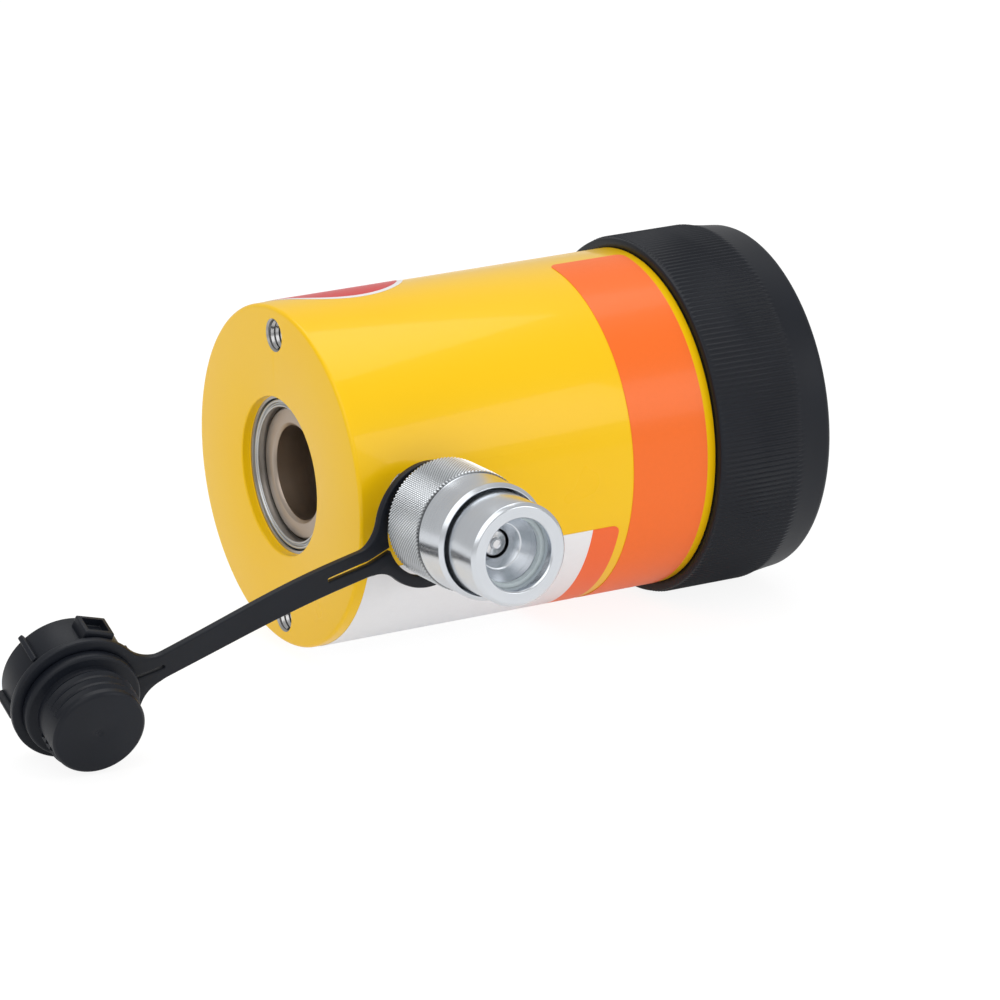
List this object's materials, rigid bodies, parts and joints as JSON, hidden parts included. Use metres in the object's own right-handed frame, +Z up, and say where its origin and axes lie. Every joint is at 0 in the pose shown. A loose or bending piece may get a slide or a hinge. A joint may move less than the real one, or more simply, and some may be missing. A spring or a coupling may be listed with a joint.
{
  "type": "hollow plunger hydraulic cylinder",
  "caption": "Hollow plunger hydraulic cylinder with spring return, threaded collar under a ribbed protector, knurled quick coupler and a dust cap on a moulded strap.",
  "frame": {"origin": "on the floor, under the middle of the bounding box of the cylinder lying on its side", "axes": "+X along the plunger, from the base to the saddle; -Y along the coupler, out of the barrel; +Z up"},
  "size_m": [0.2726, 0.1574, 0.105],
  "materials": {
    "yellow_paint": "gloss paint on turned steel",
    "ground_steel": "ground",
    "chromed_steel": "hard chrome",
    "nickel_tube": "dull nickel plate",
    "zinc_plate": "bright zinc plate",
    "black_steel": "black oxide",
    "spring_steel": "drawn, oiled",
    "black_plastic": "satin moulded",
    "black_rubber": "moulded",
    "blue_urethane": "moulded",
    "bronze": "turned"
  },
  "bodies": {
    "cylinder": {"barrel": "yellow_paint", "centre_tube": "nickel_tube", "tube_lock_ring": "chromed_steel", "tube_seal": "black_rubber", "stop_ring": "black_steel", "rod_bearing_ring": "bronze", "plunger_wiper": "blue_urethane", "return_spring": "spring_steel", "coupler_adapter": "zinc_plate", "adapter_seal": "black_rubber", "coupler_body": "zinc_plate", "nozzle_seal": "black_rubber", "poppet_guide": "bronze", "poppet_spring": "spring_steel"},
    "plunger": {"plunger": "chromed_steel", "piston_outer_seal": "blue_urethane", "piston_inner_seal": "blue_urethane", "piston_bearing_ring": "bronze"},
    "saddle": {"saddle": "ground_steel"},
    "protector": {"thread_protector": "black_plastic"},
    "sleeve_ring": {"sleeve_ring": "spring_steel"},
    "sleeve": {"coupler_sleeve": "zinc_plate"},
    "poppet": {"poppet_valve": "ground_steel"},
    "strap": {"cap_strap": "black_plastic"},
    "cap": {"dust_cap": "black_plastic"}
  },
  "joints": [
    {"name": "plunger_slide", "type": "slide", "parent": "cylinder", "child": "plunger", "axis": [1, 0, 0], "range_m": [0, 0.05], "stiffness_N_per_m": 4000, "springref_m": -0.03, "deforming": ["return_spring"]},
    {"name": "saddle_unscrew", "type": "slide", "parent": "plunger", "child": "saddle", "axis": [1, 0, 0], "range_m": [0, 0.018]},
    {"name": "protector_unscrew", "type": "slide", "parent": "cylinder", "child": "protector", "axis": [1, 0, 0], "range_m": [0, 0.045]},
    {"name": "sleeve_slide", "type": "slide", "parent": "cylinder", "child": "sleeve_ring", "axis": [0, -1, 0], "range_m": [0, 0.012]},
    {"name": "sleeve_turn", "type": "hinge", "parent": "sleeve_ring", "child": "sleeve", "pos_m": [-0.00674, -0.05, 0.0525], "axis": [0, -1, 0], "continuous": true},
    {"name": "poppet_press", "type": "slide", "parent": "cylinder", "child": "poppet", "axis": [0, 1, 0], "range_m": [0, 0.003], "stiffness_N_per_m": 600, "springref_m": -0.004, "deforming": ["poppet_spring"]},
    {"name": "strap_swing", "type": "hinge", "parent": "cylinder", "child": "strap", "pos_m": [-0.00674, -0.03025, 0.0525], "axis": [0, -1, 0], "range_deg": [-160, 130]},
    {"name": "cap_turn", "type": "hinge", "parent": "strap", "child": "cap", "pos_m": [-0.11708, -0.03006, 0.01875], "axis": [-0.0765, -0.9407, -0.3305], "continuous": true}
  ]
}
